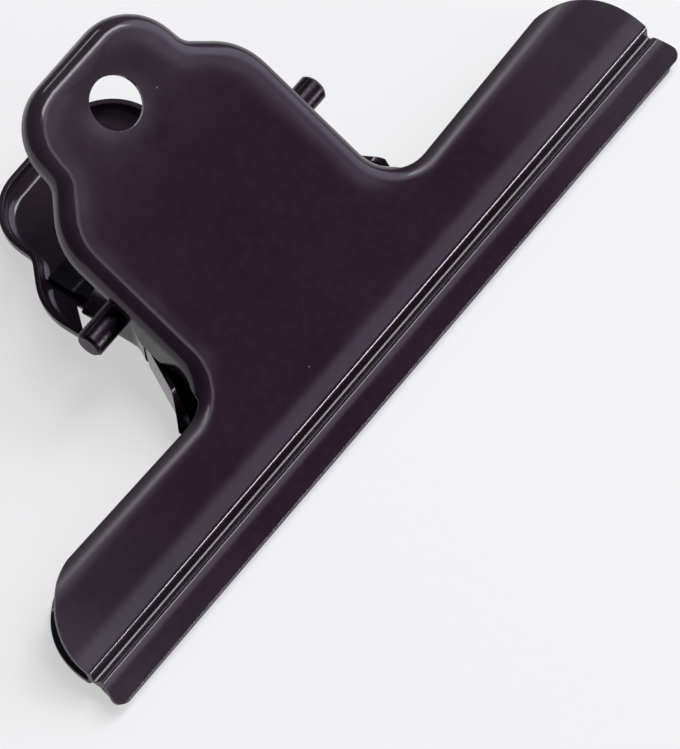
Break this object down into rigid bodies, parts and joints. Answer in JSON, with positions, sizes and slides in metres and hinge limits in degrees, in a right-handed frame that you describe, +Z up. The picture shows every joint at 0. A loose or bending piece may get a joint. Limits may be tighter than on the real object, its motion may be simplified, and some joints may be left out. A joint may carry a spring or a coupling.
{
  "type": "bulldog clip",
  "caption": "Sprung letter clip of pressed steel with a long beaded jaw, flanged scalloped handles with hanging holes, ears on a hinge pin and a leaf spring.",
  "frame": {"origin": "middle of the underside's box, on the surface the closed clip lies on", "axes": "+X along the jaw, +Y from the jaw towards the handles, +Z up; the clip lies on its rear plate with the front plate on top"},
  "size_m": [0.144, 0.0734, 0.0406],
  "materials": {
    "lacquer": "semi-gloss black stoving lacquer with a faint plum cast",
    "pin_steel": "dark oiled steel, cut ends lighter",
    "spring_steel": "plain rolled spring steel"
  },
  "bodies": {
    "rear": {"rear_plate": "lacquer", "hinge_pin": "pin_steel", "spring": "spring_steel"},
    "front": {"front_plate": "lacquer"}
  },
  "joints": [
    {"name": "jaw_hinge", "type": "hinge", "parent": "rear", "child": "front", "pos_m": [0, 0.00155, 0.01589], "axis": [-1, 0, 0], "range_deg": [0, 30], "stiffness_Nm_per_rad": 1, "springref_deg": -45.84, "deforming": ["spring"]}
  ]
}
